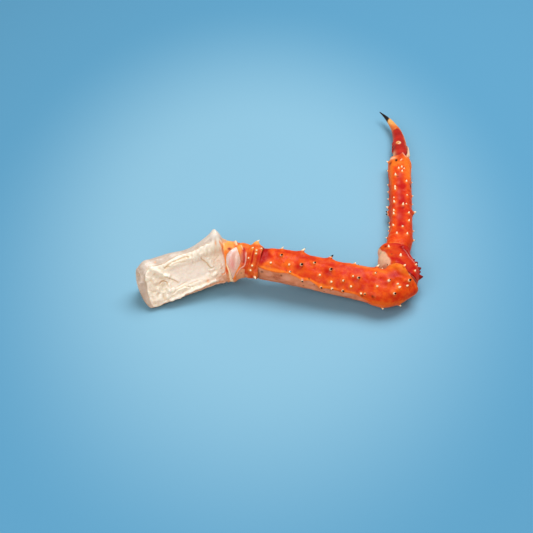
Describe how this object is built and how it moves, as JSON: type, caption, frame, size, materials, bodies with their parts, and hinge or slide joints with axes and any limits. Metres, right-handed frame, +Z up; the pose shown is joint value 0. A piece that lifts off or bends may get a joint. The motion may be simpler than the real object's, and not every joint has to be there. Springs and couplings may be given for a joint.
{
  "type": "cooked king crab leg with claw",
  "caption": "One cooked red king crab leg lying on its side: white shoulder meat, spiny jointed shell, bent knee and black-tipped claw.",
  "frame": {"origin": "on the floor under the middle of the leg's bounding box", "axes": "+Z up, +X from the shoulder meat towards the knee, +Y from the knee towards the claw tip"},
  "size_m": [0.2469, 0.2851, 0.0524],
  "materials": {
    "meat": "moist white meat with soft folds",
    "orange_shell": "wet cooked shell, orange",
    "red_shell": "wet cooked shell, red-orange with pale spines",
    "skin": "moist pink joint skin",
    "claw": "dark red horn with a tan band and a black tip"
  },
  "bodies": {
    "root": {"shoulder_meat": "meat", "basis_shell": "orange_shell", "basis_skin": "skin", "ischium_shell": "orange_shell", "merus_shell": "red_shell", "knee_skin": "skin", "carpus_shell": "red_shell", "wrist_skin": "skin", "propodus_shell": "red_shell", "claw_skin": "skin", "dactyl": "claw"}
  },
  "joints": []
}
